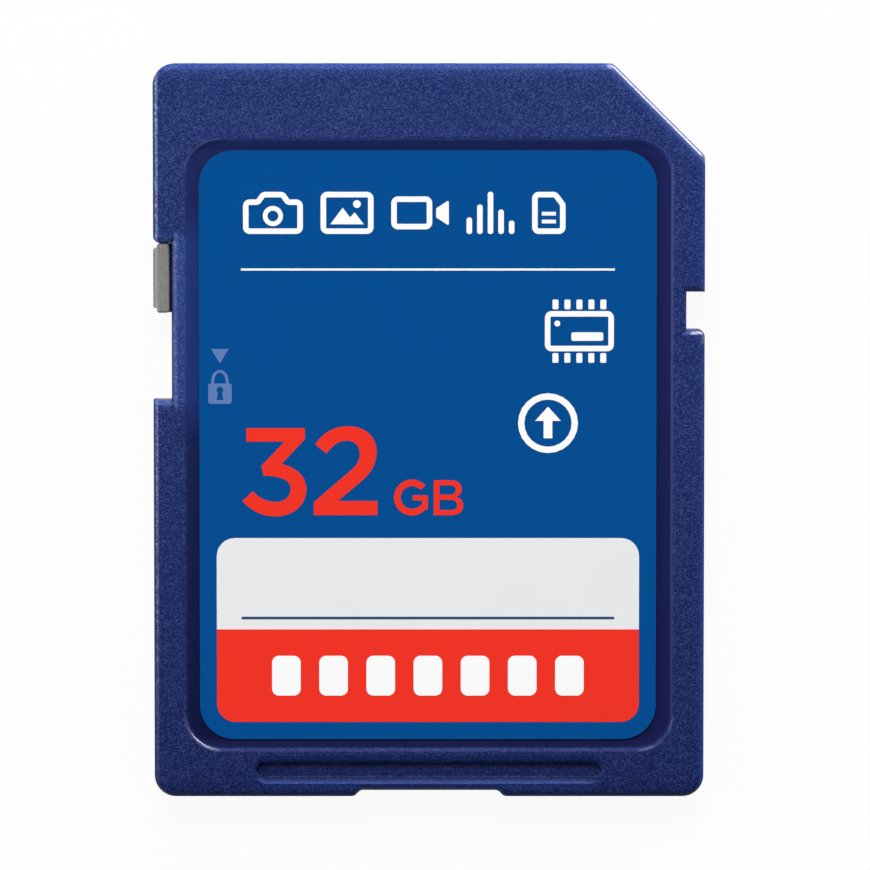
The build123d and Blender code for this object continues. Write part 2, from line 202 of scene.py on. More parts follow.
class CardShellLook(bpy.types.PropertyGroup):
    """Plastic of the two moulded shells."""

    textured: colour("Textured colour", "Plastic where the mould was spark-eroded", (0.0055, 0.0175, 0.1220))
    # Painted shade: the textured plastic is painted darker towards the tail, where less light falls.
    textured_shaded_tail: colour("Textured tail", "Plastic at the tail, dark from fingers", (0.0008, 0.0064, 0.0640))
    # The bright grains are partly grain tone and partly painted glints.
    sparks: colour("Spark colour", "Plastic on the brightest grains", (0.0430, 0.0765, 0.2450))
    glow: colour("Edge colour", "Plastic near the edges, lit through", (0.0080, 0.0400, 0.2350))
    polished: colour("Polished colour", "Leading end of the smooth label bed", (0.0165, 0.0275, 0.1400))
    # Painted shade: the bed is painted darker towards the tail.
    polished_shaded_tail: colour("Polished tail", "Tail end of the label bed", (0.0060, 0.0092, 0.0540))
    bed_left: colour("Bed left", "Label bed along the lock's side", (0.0300, 0.0500, 0.1900))
    bed_right: colour("Bed right", "Label bed along the keyed side and the foot", (0.0186, 0.0190, 0.1180))
    notch_colour: colour("Notch colour", "Plastic at the lock notch, lit through", (0.0200, 0.0520, 0.2500))
    # Painted highlight: the pale lines along the lock's side, its notch and the bed's keyed wall.
    rubbed: colour("Rubbed colour", "Plastic where it is rubbed pale", (0.3600, 0.4300, 0.7000))
    # Painted shade, in the groove, beside the slider, under the bed's leading wall and along the label's
    # edge.
    painted_shade: colour("Grime", "Dirt along the label's edge", (0.0010, 0.0030, 0.0200))
    grain: length("Grain", "Width of one grain of the texture", 0.055)
    depth: length("Grain depth", "Height of the grains", 0.030)
    textured_roughness: share("Textured roughness", "Gloss of the grains", 0.38)
    polished_roughness: share("Polished roughness", "Gloss of the label bed", 0.24)
    glow_reach: length("Edge reach", "How far the edge colour reaches in from the outline", 0.75)
    side_reach: length("Side reach", "How far the edge colour reaches in from the keyed side", 0.50)
    side_glow: share("Side glow", "Strength of the edge colour at the keyed side", 0.60)
    low_glow: share("Low glow", "Strength of the edge colour well under the front face", 0.30)
    crown_slope: share("Crown slope", "Fall of the face at its outline", 0.22)
    edge_round: length("Edge round", "Radius of the rounded front edges", 0.27)
    edge_dulling: share("Edge dulling", "Loss of gloss where the edges turn down", 0.55)
    rail: length("Rail", "Depth of both side notches", 0.8)
    notch_reach: length("Notch reach", "How far light comes through the thin wall of the lock notch", 2.4)
    notch_fade: length("Notch fade", "Length over which that light fades past the notch", 0.6)
    notch_glow: share("Notch glow", "Strength of that light on the textured face", 0.64)
    cut_corner: length("Cut corner", "Length that the cut takes off each side", 4.0)
    cut_polish: length("Cut polish", "Width of the smooth edge along the cut corner", 0.32)
    bed_side_gap: length("Bed side gap", "From the label to the bed's side wall", 0.62)
    bed_end_gap: length("Bed end gap", "From the label to the bed's end wall", 0.39)
    bed_corner: length("Bed corner", "Radius of the bed's corners", 1.5)
    bed_blend: length("Bed blend", "Width over which the texture fades into the bed", 0.10)
    bed_rim: length("Bed rim", "Width of the rubbed rim round the bed", 0.18)
    # Painted shade along the label's edge.
    bed_edge_shade: share("Bed grime", "Strength of the dirt along the label's edge", 0.30)
    # Painted light: the bed's keyed wall gets a painted highlight and its leading wall painted light.
    side_wall_highlight: share("Wall rub", "How pale the bed's wall at the keyed side is rubbed", 0.16)
    top_wall_light: share("Wall lift", "How pale the bed's wall at the leading end is", 0.65)
    top_wall_light_colour: colour("Wall colour", "Bed's wall at the leading end", (0.0500, 0.1000, 0.4800))
    # The groove's worn lines are painted highlight lines.
    groove_y: length("Groove y", "Middle of the groove's worn lines", -14.94)
    groove_reach: length("Groove reach", "From the card's middle to the end of the groove's worn line", 7.70)
    groove_half: length("Groove half width", "From the groove's middle to its worn line", 0.44)
    # The rubbed line along the lock's side is a painted highlight.
    highlight_from: length("Rub from", "From the lock's side to the rubbed line along it", 0.16)
    highlight_width: length("Rub width", "Half width of that rubbed line", 0.09)
    rubbed_depth: length("Rubbed depth", "Level of the rubbed line on the rounded side edges", 0.07)
    # Painted shade: fewer bright grains towards the tail, where less light falls.
    tail_spark_shade: share("Rubbed tail", "Share of the sparks that fingers have rubbed off at the tail", 0.50)
    glint: length("Glint", "Width of one glint along the sides", 0.09)
    edge_shine: share("Edge shine", "Polish of the brightest glints along the sides", 0.20)
    rim_dulling: share("Rim dulling", "Loss of gloss on the bed's rim", 0.25)
    rim_shine: share("Rim shine", "Polish of the bed's rim", 0.006)
    corner_shine: share("Corner shine", "Polish of the rim at the bed's corners", 0.75)
    key_corner_x: length("Key corner x", "Worn corner at the foot of the key notch", 11.75)
    key_corner_y: length("Key corner y", "Worn corner at the foot of the key notch", 4.18)
    key_corner_wear: length("Key corner wear", "Radius of that worn corner", 0.45)


class CardLabelLook(bpy.types.PropertyGroup):
    """Film and inks of the front label."""

    film: colour("Film", "Ground colour of the label", (0.0, 0.0700, 0.2700))
    white: colour("White ink", "Signs, rules and perforations", (0.95, 0.95, 0.95))
    panel: colour("Panel ink", "Writing panel", (0.79, 0.80, 0.815))
    red: colour("Red ink", "Band and capacity numerals", (0.855, 0.033, 0.018))
    navy: colour("Navy ink", "Rule on the writing panel", (0.024, 0.068, 0.157))
    lilac: colour("Lilac ink", "Lock signs", (0.114, 0.198, 0.443))
    ink: length("Ink thickness", "Height of one printed layer", 0.006)


class CardPrintSizes(bpy.types.PropertyGroup):
    """Places and sizes of the print, from the middle of the card."""

    field_half_width: length("Field half width", "Half width of the panel and the band", 9.21)
    panel_top: length("Panel top", "Upper edge of the writing panel", -4.651)
    panel_foot: length("Panel foot", "Edge between the panel and the band", -8.652)
    band_foot: length("Band foot", "Lower edge of the band", -12.716)
    field_corner: length("Field corner", "Radius of the outer corners of the fields", 0.79)
    rule_half_width: length("Rule half width", "Half length of both rules", 8.13)
    title_rule: length("Title rule", "Middle of the white rule", 7.064)
    title_rule_width: length("Title rule width", "Line width of the white rule", 0.09)
    panel_rule: length("Panel rule", "Middle of the rule on the panel", -8.152)
    panel_rule_width: length("Panel rule width", "Line width of the rule on the panel", 0.112)
    capacity_left: length("Capacity left", "Left edge of the numerals", -8.133)
    capacity_foot: length("Capacity foot", "Base line of the numerals", -3.650)
    lock_x: length("Lock sign side", "Middle of the lock signs", -9.1)
    media_left: length("Media left", "Left end of the row of media signs", -8.08)
    media_foot: length("Media foot", "Base line of the media signs", 8.61)
    media_gap: length("Media gap", "Gap between two media signs", 0.77)
    sign_line: length("Sign line", "Line width of the signs", 0.24)
    chip_x: length("Chip sign x", "Middle of the chip sign", 6.54)
    chip_y: length("Chip sign y", "Middle of the chip sign", 4.38)
    chip_width: length("Chip width", "Width of the chip's body", 3.0)
    chip_height: length("Chip height", "Height of the chip's body", 1.75)
    pin_columns: count("Pin columns", "Pins along each side of the chip", 5)
    pin_pitch: length("Pin pitch", "Distance between two pins", 0.52)
    pin_width: length("Pin width", "Width of one pin", 0.26)
    pin_length: length("Pin length", "Length of one pin", 0.42)
    pin_gap: length("Pin gap", "From the chip's body to a pin", 0.08)
    ring_x: length("Insert sign x", "Middle of the insert sign", 5.18)
    ring_y: length("Insert sign y", "Middle of the insert sign", 0.37)
    ring_radius: length("Ring radius", "Outer radius of the insert sign's ring", 1.305)
    ring_line: length("Ring line", "Line width of the ring", 0.275)
    perforations: count("Perforations", "Marks in the red band", 7)
    perforation_pitch: length("Perforation pitch", "Distance between two marks", 2.06)
    perforation_width: length("Perforation width", "Width of one mark", 1.25)
    perforation_height: length("Perforation height", "Height of one mark", 1.75)
    perforation_corner: length("Perforation corner", "Corner radius of one mark", 0.3)
    perforation_y: length("Perforation level", "Middle of the row of marks", -10.684)


class CardSliderLook(bpy.types.PropertyGroup):
    """Plastic of the lock slider."""

    body: colour("Body", "Plastic of the slider", (0.120, 0.119, 0.114))
    # Painted light: the grip is painted paler where light falls on it.
    pale: colour("Rubbed", "Plastic where it is rubbed", (0.400, 0.399, 0.390))
    # Painted shade on the neck deep in the slit.
    slit: colour("Slit", "Grease on the neck in the slit", (0.005, 0.008, 0.040))
    face: length("Face", "Width of the slider's face, grip included", 0.69)
    grip: length("Grip", "Height of the rubbed grip", 0.17)
    grain: length("Grain", "Width of one grain of its surface", 0.09)
    depth: length("Grain depth", "Height of the grains", 0.006)


class CardBoardLook(bpy.types.PropertyGroup):
    """Finishes of the board and what it carries."""

    mask: colour("Solder mask", "Lacquer of the board", (0.018, 0.085, 0.042))
    trace: colour("Traces", "Lacquer over copper", (0.035, 0.150, 0.070))
    gold: colour("Gold", "Plating of the contacts", (0.830, 0.590, 0.250))
    worn_gold: colour("Worn gold", "Plating where pins have rubbed", (0.700, 0.520, 0.270))
    resin: colour("Resin", "Moulding of the chip packages", (0.013, 0.013, 0.014))
    tan: colour("Capacitor", "Ceramic of the capacitors", (0.300, 0.190, 0.100))
    black: colour("Resistor", "Coat of the resistors", (0.030, 0.030, 0.033))
    tin: colour("Tin", "Tinned ends of the small parts", (0.620, 0.610, 0.590))


class CardStageLook(bpy.types.PropertyGroup):
    """Floor, lamps and camera."""

    floor: colour("Floor", "Pale floor", (0.86, 0.86, 0.86))
    bounce: colour("Bounce", "Share of the light that the floor throws back at the card", (0.25, 0.25, 0.25))
    key_power: power("Key", "High lamp beyond the leading end", 2.70)
    rim_power: power("Rim", "Low lamp beyond the leading end", 2.00)
    fill_power: power("Fill", "High lamp at each side", 0.05)
    tail_power: power("Tail", "High lamp beyond the tail", 0.08)
    left_power: power("Left", "Low lamp at the slider's side", 0.30)
    edge_power: power("Edge", "Low lamp beyond the cut corner", 0.75)
    distance: length("Camera distance", "From the label to the camera", 266.0)
    tilt: FloatProperty(
        name="Tilt", description="Lean to the leading end", default=math.radians(4.1), subtype="ANGLE"
    )
    lens: FloatProperty(name="Lens", description="Focal length in millimetres", default=252.85, min=1.0)
    aim_x: length("Aim x", "Point in the middle of the picture", 0.26)
    aim_y: length("Aim y", "Point in the middle of the picture", -0.14)


class Wire:
    """A socket of a node tree, or the bare tree, with arithmetic that adds Math nodes."""

    def __init__(self, tree, socket=None):
        self.tree = tree
        self.socket = socket

    def node(self, kind, settings=None, sockets=None, output=0):
        """Adds a node, sets it up, fills or links its sockets and gives one of its outputs."""
        made = self.tree.nodes.new(kind)
        for name, value in (settings or {}).items():
            if name == "stops":
                set_stops(made.color_ramp.elements, value)
            else:
                setattr(made, name, value)
        for key, value in (sockets or {}).items():
            for one in value if isinstance(value, list) else [value]:
                if isinstance(one, Wire):
                    self.tree.links.new(one.socket, made.inputs[key])
                else:
                    made.inputs[key].default_value = one
        return Wire(self.tree, made.outputs[output] if made.outputs else None)

    def math(self, operation, *values):
        """A Math node on these values."""
        return self.node("ShaderNodeMath", {"operation": operation}, dict(enumerate(values)))

    def __add__(self, other):
        return self.math("ADD", self, other)

    def __radd__(self, other):
        return self.math("ADD", other, self)

    def __sub__(self, other):
        return self.math("SUBTRACT", self, other)

    def __rsub__(self, other):
        return self.math("SUBTRACT", other, self)

    def __mul__(self, other):
        return self.math("MULTIPLY", self, other)

    def __rmul__(self, other):
        return self.math("MULTIPLY", other, self)

    def __truediv__(self, other):
        return self.math("DIVIDE", self, other)

    def __pow__(self, other):
        return self.math("POWER", self, other)

    def __abs__(self):
        return self.math("ABSOLUTE", self)

    def least(self, other):
        """The smaller of two values."""
        return self.math("MINIMUM", self, other)

    def most(self, other):
        """The larger of two values."""
        return self.math("MAXIMUM", self, other)

    def clamped(self):
        """The value kept from 0 to 1."""
        return self.node("ShaderNodeClamp", None, {"Value": self})

    def blend(self, first, second):
        """The first colour where this value is 0 and the second where it is 1."""
        sockets = {MIX_FACTOR: self, MIX_FIRST: rgba(first), MIX_SECOND: rgba(second)}
        return self.node("ShaderNodeMix", {"data_type": "RGBA"}, sockets, MIX_RESULT)


def set_stops(elements, stops):
    """Gives a ramp these stops, each a place and a colour."""
    while len(elements) < len(stops):
        elements.new(1.0)
    for element, (place, value) in zip(elements, stops):
        element.position = place
        element.color = value


def rgba(value, factor=1.0):
    """A colour socket's value: a wire as it is, or a colour times a factor."""
    if isinstance(value, Wire):
        return value
    return (*(tone * factor for tone in value[:3]), 1.0)


def grey(tone):
    """A grey as a colour socket's value."""
    return (tone, tone, tone, 1.0)


def new_material(name):
    """An empty node material and its tree."""
    material = bpy.data.materials.new(name)
    material.use_nodes = True
    material.node_tree.nodes.clear()
    return material, Wire(material.node_tree)


def close_material(tree, shader):
    """Links a shader to the material's output."""
    tree.node("ShaderNodeOutputMaterial", None, {"Surface": shader})


def new_finish(name):
    """An empty node material and the object coordinates of its shaded points."""
    material, tree = new_material(name)
    return material, tree.node("ShaderNodeTexCoord", output="Object")


def finished(material, place, sockets):
    """The material, closed by a Principled shader on these sockets."""
    close_material(place, place.node("ShaderNodeBsdfPrincipled", None, sockets))
    return material


def split(place):
    """The three parts of a place."""
    parts = place.node("ShaderNodeSeparateXYZ", None, {0: place})
    return [Wire(place.tree, socket) for socket in parts.socket.node.outputs]


def stretched(place, factors):
    """A place scaled along each axis."""
    return place.node("ShaderNodeVectorMath", {"operation": "MULTIPLY"}, {0: place, 1: factors})


def noise(place, width, detail=2.0, roughness=0.55):
    """Soft noise whose spots are about this wide."""
    sockets = {"Vector": place, "Scale": 1.0 / width, "Detail": detail, "Roughness": roughness}
    return place.node("ShaderNodeTexNoise", {"noise_dimensions": "3D"}, sockets, "Fac")


def sparks(place, width):
    """Random brightness of grains about this wide, of which only a few are bright."""
    sockets = {"Vector": place, "Scale": 1.0 / width}
    grains = place.node("ShaderNodeTexVoronoi", {"feature": "F1"}, sockets, "Color")
    return split(grains)[0] ** 2.5


def bump(height, depth):
    """A normal bent by a height map of this depth."""
    sockets = {"Height": height, "Strength": 1.0, "Distance": depth}
    return height.node("ShaderNodeBump", None, sockets, "Normal")


def edge_distances(place, cut):
    """How far a point lies in from the card's sides, its ends and its cut corner."""
    x, y, _ = split(place)
    reach = FRONT_HIGH.x + FRONT_HIGH.y - cut
    return FRONT_HIGH.x - abs(x), FRONT_HIGH.y - abs(y), (reach - x - y) / math.sqrt(2.0)


def bed_distance(place, look):
    """How far a point lies outside the label bed's wall, less than 0 inside, and how far round a corner."""
    x, y, _ = split(place)
    size = LABEL_HIGH - LABEL_LOW
    over_x = abs(x) - (size.x / 2 + look.bed_side_gap - look.bed_corner)
    over_y = abs(y - (LABEL_LOW.y + LABEL_HIGH.y) / 2) - (size.y / 2 + look.bed_end_gap - look.bed_corner)
    reach = (over_x.most(0.0) ** 2.0 + over_y.most(0.0) ** 2.0) ** 0.5
    turn = (over_x.least(over_y) * 2.0 / look.bed_corner).clamped()
    return reach + over_x.most(over_y).least(0.0) - look.bed_corner, turn


def near(distance, reach):
    """1 at a line or beyond it, falling to 0 at this distance from it."""
    return (1.0 - distance / reach).clamped()


def past(value, width):
    """0 up to a value of 0, rising to 1 over this width."""
    return (value / width).clamped()


def stripe(distance, line):
    """Strength of a painted line on its middle, falling to 0 at both sides."""
    middle, half, strength = line
    return near(abs(distance - middle * MM), half * MM) * strength


def lead_share(place):
    """0 at the tail and 1 at the leading end."""
    return (0.5 + split(place)[1] / (2.0 * FRONT_HIGH.y)).clamped()


def edge_glow(place, look):
    """How much light comes through the plastic along the leading end, the cut corner and the keyed side."""
    x, y, z = split(place)
    cut = edge_distances(place, look.cut_corner)[2]
    ends = near(FRONT_HIGH.y - y, look.glow_reach).most(near(cut, look.glow_reach)) ** 2.0
    along = ends.most(near(FRONT_HIGH.x - x, look.side_reach) ** 1.5 * look.side_glow)
    high = near(FRONT_HIGH.z - z - look.edge_round, look.edge_round)
    return along * (look.low_glow + (1.0 - look.low_glow) * high)


def notch_light(place, look, fade):
    """How much light comes through the thin wall behind the lock notch, fading over a length past it."""
    x, y, _ = split(place)
    beyond = abs(y - (NOTCH_TOP + NOTCH_FOOT) / 2) - (NOTCH_TOP - NOTCH_FOOT) / 2
    return near(x - (FRONT_LOW.x + look.rail), look.notch_reach) * near(beyond, fade)


def rubbed_edges(place, look):
    """Where the rounded edges of both sides and their notches are rubbed."""
    x, _, z = split(place)
    level = (2.0 - abs(FRONT_HIGH.z - z - look.rubbed_depth) * (2.0 / look.rubbed_depth)).clamped()
    return level * near(FRONT_HIGH.x - abs(x) - look.rail * 1.3, look.rail * 0.1)


def worn_key_corner(place, look):
    """Where a socket's key has worn the corner at the foot of the key notch."""
    x, y, _ = split(place)
    away = (abs(x - look.key_corner_x) ** 2.0 + abs(y - look.key_corner_y) ** 2.0) ** 0.5
    return (near(away, look.key_corner_wear) * 3.0).clamped()


def groove_painted_light(place, look, base):
    """Adds the groove's pale rim, the dirt on its walls and the two worn lines along its lower wall."""
    x, y, _ = split(place)
    rise = y - look.groove_y
    over = (abs(x) - (look.groove_reach - look.groove_half)).most(0.0)
    reach = (over ** 2.0 + abs(rise) ** 2.0) ** 0.5 - look.groove_half
    upper = past(rise, look.groove_half / 2)
    lower = past(0.0 - rise, look.groove_half / 2)
    glints = sparks(place, look.glint)
    # Painted glow, painted shade and painted highlights along the groove.
    base = (stripe(reach, GROOVE_RIM_GLOW) * near(over, GROOVE_END)).blend(base, look.glow)
    base = (stripe(reach, GROOVE_SHADE) * lower).blend(base, rgba(look.glow, DEEP_GLOW))
    base = (stripe(reach, GROOVE_UPPER_SHADE) * upper).blend(base, look.painted_shade)
    base = (stripe(reach, GROOVE_HIGHLIGHT) * lower * (0.4 + glints * 0.8)).blend(base, look.glow)
    return (stripe(reach, GROOVE_GLINTS) * lower * (0.3 + glints * 1.2)).blend(base, look.sparks)


def side_painted_light(place, look, base):
    """Adds the dark seam behind the slider and the rubbed lines along the lock's side and its notch."""
    outside = split(place)[0] - FRONT_LOW.x
    inside = outside - look.rail
    along = (notch_light(place, look, look.notch_fade) * 4.0).clamped()
    # Painted shade beside the slider.
    base = (stripe(inside, NOTCH_SHADE) * along).blend(base, look.painted_shade)
    # Painted highlight lines along the lock's side and its notch.
    notch = near(abs(inside - look.highlight_from - NOTCH_HIGHLIGHT_SHIFT), look.highlight_width) * along
    lines = near(abs(outside - look.highlight_from), look.highlight_width).most(notch * 0.4) * lead_share(place)
    return (lines * (0.25 + sparks(place, look.glint) * 0.9)).blend(base, look.rubbed)


def textured_colour(place, look):
    """Colour of the spark-eroded plastic, with its bright grains and the light through its edges."""
    lead = lead_share(place)
    through = notch_light(place, look, look.notch_fade)
    # Painted shade: darker towards the tail.
    base = (lead ** 0.5).blend(look.textured_shaded_tail, look.textured)
    base = edge_glow(place, look).blend(base, look.glow)
    base = (through * look.notch_glow).blend(base, look.notch_colour)
    # Painted shade: fewer bright grains towards the tail.
    spark_light = 1.0 - look.tail_spark_shade * (1.0 - lead)
    drift = noise(place, look.grain * DRIFT_GRAINS, 1.0)
    grains = through.blend(look.sparks, rgba(look.sparks, LIT_SPARKS))
    return (sparks(place, look.grain) * spark_light * (0.75 + drift * 0.5)).clamped().blend(base, grains)


def bed_floor(place, look, distance):
    """Colour of the polished label bed, by its side, its end and the dirt along the label."""
    x, y, _ = split(place)
    lead = lead_share(place)
    # Painted shade: darker towards the tail.
    floor = lead.blend(look.polished_shaded_tail, look.polished)
    purple = (past(x, FRONT_HIGH.x) * 0.5).most(past(LABEL_LOW.y - y, LABEL_EDGE) * 0.6)
    floor = purple.blend(floor, look.bed_right)
    floor = (past(x, FRONT_LOW.x) * lead ** 2.0 * 0.24).blend(floor, look.bed_left)
    # Painted shadow under the bed's leading wall, then painted shade along the label's edge.
    floor = (past(y - LABEL_HIGH.y, LABEL_EDGE) * 0.25).blend(floor, look.painted_shade)
    inward = 1.0 - near(0.0 - distance, look.bed_side_gap)
    floor = (inward * look.bed_edge_shade).blend(floor, look.painted_shade)
    return notch_light(place, look, look.notch_fade * BED_LIGHT_FADE).blend(floor, look.notch_colour)


def bed_wall_light(place, look, distance, turn, base):
    """Adds the pale wall at the bed's leading end and the rubbed one at its keyed side."""
    x, y, _ = split(place)
    top = ((y - LABEL_HIGH.y) / TOP_WALL_FADE + 1.0).clamped()
    # Painted light on the leading wall, painted highlight on the keyed wall.
    base = (stripe(distance, BED_TOP_WALL_LIGHT) * top * look.top_wall_light).blend(base, look.top_wall_light_colour)
    keyed = past(x - FRONT_HIGH.x + KEYED_STRIP, KEYED_FADE)
    wall = stripe(distance, BED_SIDE_WALL_HIGHLIGHT) * keyed * (1.0 - turn) * (0.2 + lead_share(place) * 1.1)
    return (wall * look.side_wall_highlight).blend(base, look.rubbed)


def shell_plastic(name, look, bed):
    """Blue plastic with a spark-eroded texture, polished inside the label bed if there is one."""
    material, place = new_finish(name)
    x, _, z = split(place)
    fine = noise(place, look.grain, 1.0, 0.6)
    side, end, cut = edge_distances(place, look.cut_corner)
    falls = [near(distance, look.glow_reach) ** 2.0 for distance in (side, end, cut)]
    crown = falls[0] + falls[1] + falls[2]
    outer = near(side.least(end).least(cut), look.edge_round) ** 2.0
    smooth = past(look.cut_polish - cut, look.cut_polish * 0.4)
    crest = near(FRONT_HIGH.z - z - look.edge_round, look.edge_round * 0.3)
    rubbed = rubbed_edges(place, look)
    glints = sparks(place, look.glint) ** 2.0
    base = (smooth * crest).blend(textured_colour(place, look), look.glow)
    gloss = look.textured_roughness + (0.5 - fine) * 0.25 + outer * look.edge_dulling
    shine = (smooth * crest).most(rubbed * (0.03 + glints) * look.edge_shine)
    smooth = smooth.most(rubbed * 0.5)
    if bed:
        distance, turn = bed_distance(place, look)
        polish = (0.3 - distance / look.bed_blend).clamped()
        rim = (2.0 - abs(distance - look.bed_rim * 0.4) * (3.0 / look.bed_rim)).clamped()
        base = side_painted_light(place, look, groove_painted_light(place, look, base))
        base = polish.blend(base, bed_floor(place, look, distance))
        base = bed_wall_light(place, look, distance, turn, base)
        gloss = (gloss + rim * look.rim_dulling) * (1.0 - polish) + polish * look.polished_roughness
        smooth = smooth.most(polish).most(rim * 0.4)
        corner = turn * (1.0 - past(x, MM) * 0.7)
        shine = shine.most(rubbed * worn_key_corner(place, look))
        shine = shine.most(rim * (look.rim_shine + corner * look.corner_shine)) * (1.0 - polish)
    relief = fine * (1.0 - smooth) * look.depth - crown * (look.crown_slope * look.glow_reach / 2)
    sockets = {
        "Base Color": base,
        "Roughness": gloss,
        "Normal": bump(relief, 1.0),
        "Specular IOR Level": 0.15,
        "Coat Weight": shine,
        "Coat Roughness": 0.30,
        "Coat IOR": 2.2,
    }
    return finished(material, place, sockets)


def printed_ink(name, value):
    """Screen ink: an even colour with a faint grain and a satin face."""
    material, place = new_finish(name)
    grain = noise(place, INK_GRAIN, 2.0, 0.7)
    drift = noise(place, INK_DRIFT, 1.0)
    tone = (grain * 0.6 + drift * 0.4).clamped()
    sockets = {
        "Base Color": tone.blend(rgba(value, 1.0 - INK_SPREAD), rgba(value, 1.0 + INK_SPREAD)),
        "Roughness": 0.5 + (grain - 0.5) * 0.2,
        "Normal": bump(grain, INK_RELIEF),
        "Specular IOR Level": 0.05,
    }
    return finished(material, place, sockets)


def slider_plastic(name, look):
    """Grey satin plastic, paler where fingers rub it."""
    material, place = new_finish(name)
    grain = noise(place, look.grain, 3.0, 0.6)
    streaks = noise(stretched(place, (1.0, 0.12, 1.0)), SLIDER_STREAK, 2.0)
    x = split(place)[0]
    # Painted light: the grip is painted paler.
    rubbed = past(SLIDER_LOW.x + look.grip - x, SLIDER_FADE)
    # Painted shade on the neck in the slit.
    shaded_neck = past(x - SLIDER_LOW.x - look.face, SLIDER_FADE)
    tone = grain * 0.8 + streaks * 0.5 - 0.3 + rubbed * (grain * 0.9 + 0.08)
    # Painted shade along the outer edge, painted highlights on the ridge and the bevel.
    for line in (SLIDER_EDGE_SHADE, SLIDER_RIDGE_HIGHLIGHT, SLIDER_BEVEL_LIGHT):
        tone = tone + stripe(x - SLIDER_LOW.x, line)
    sockets = {
        "Base Color": shaded_neck.blend(tone.clamped().blend(look.body, look.pale), look.slit),
        "Roughness": 0.44 + (streaks - 0.5) * 0.2,
        "Normal": bump(grain * 0.7 + streaks * 0.3, look.depth),
        "Specular IOR Level": 0.2,
    }
    return finished(material, place, sockets)


def board_laminate(name, look):
    """Green solder mask over a glass weave, with raised lines where copper runs under it."""
    material, place = new_finish(name)
    x = split(place)[0]
    bend = noise(place, TRACE_BEND, 0.0)
    phase = x * (2.0 * math.pi / TRACE_PITCH) + bend * 9.0
    runs = phase.math("SINE", phase)
    copper = past(runs - 0.35, 0.25)
    weave = noise(stretched(place, (1.0, 0.35, 1.0)), WEAVE, 1.0)
    sockets = {
        "Base Color": copper.blend(look.mask, look.trace),
        "Roughness": 0.32 + weave * 0.12,
        "Normal": bump(copper * 0.8 + weave * 0.3, BOARD_RELIEF),
        "Specular IOR Level": 0.5,
    }
    return finished(material, place, sockets)


def contact_gold(name, look):
    """Gold plating with fine rubbing lines along the way in."""
    material, place = new_finish(name)
    lines = noise(stretched(place, (1.0, 0.03, 1.0)), GOLD_LINE, 3.0)
    spots = noise(place, GOLD_SPOT, 2.0)
    worn = ((lines - 0.52) * 3.0 + (spots - 0.5) * 0.8).clamped()
    sockets = {
        "Base Color": worn.blend(look.gold, look.worn_gold),
        "Metallic": 1.0,
        "Roughness": 0.24 + lines * 0.18,
        "Normal": bump(lines, GOLD_RELIEF),
    }
    return finished(material, place, sockets)


def package_resin(name, look):
    """Black moulded resin with a fine matt face."""
    material, place = new_finish(name)
    grain = noise(place, RESIN_GRAIN, 3.0, 0.65)
    sockets = {
        "Base Color": (grain * 0.8).blend(look.resin, rgba(look.resin, PALE_RESIN)),
        "Roughness": 0.5 + (grain - 0.5) * 0.3,
        "Normal": bump(grain, RESIN_RELIEF),
        "Specular IOR Level": 0.4,
    }
    return finished(material, place, sockets)


def small_part_finish(node, body, look):
    """Ceramic body with tinned ends along the part's longer side."""
    low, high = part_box(node)
    material, place = new_finish(node + "_finish")
    size = high - low
    axis = 0 if size.x > size.y else 1
    along = split(place)[axis]
    from_middle = abs(along - (low[axis] + high[axis]) / 2)
    ends = past(from_middle - size[axis] * TIN_FROM, TIN_FADE)
    grain = noise(place, PART_GRAIN, 2.0)
    paler = [tone + (1.0 - tone) * PALE_CERAMIC for tone in body]
    sockets = {
        "Base Color": ends.blend(grain.blend(body, paler), look.tin),
        "Metallic": ends,
        "Roughness": 0.45 + (grain - 0.5) * 0.2 - ends * 0.1,
        "Normal": bump(grain, PART_RELIEF),
    }
    return finished(material, place, sockets)


def nodes_named(start):
    """The CAD nodes whose names start so."""
    return [name for name in frame["nodes"] if name.startswith(start)]


def dress(nodes, material):
    """Gives CAD nodes a finish."""
    for name in nodes:
        for place in frame["nodes"][name].material_slots:
            place.material = material


def in_mm(value):
    """A length in metres as millimetres."""
    return value / MM


def arc(middle, radius, start, end):
    """Points on an arc, with angles in degrees."""
    steps = max(2, round(abs(end - start) / ARC_STEP))
    angles = [math.radians(start + (end - start) * step / steps) for step in range(steps + 1)]
    return [(middle[0] + radius * math.cos(a), middle[1] + radius * math.sin(a)) for a in angles]


def circle(middle, radius):
    """Points round a full circle."""
    return arc(middle, radius, 0.0, 360.0)[:-1]


def curve(*corners):
    """Points of a cubic curve, given by its start, two pulls and its end, without its start."""
    points = []
    for step in range(1, CURVE_STEPS + 1):
        t = step / CURVE_STEPS
        weights = ((1 - t) ** 3, 3 * t * (1 - t) ** 2, 3 * t * t * (1 - t), t ** 3)
        pairs = list(zip(weights, corners))
        points.append(tuple(sum(weight * corner[axis] for weight, corner in pairs) for axis in range(2)))
    return points


def outline(start, *stretches):
    """An outline of straight stretches, each given by a point, and curves, by two pulls and a point."""
    points = [start]
    for stretch in stretches:
        if len(stretch) == 2:
            points.append(stretch)
        else:
            points.extend(curve(points[-1], *stretch))
    return points


def box(left, foot, right, top):
    """The corners of an upright box."""
    return [(left, foot), (right, foot), (right, top), (left, top)]


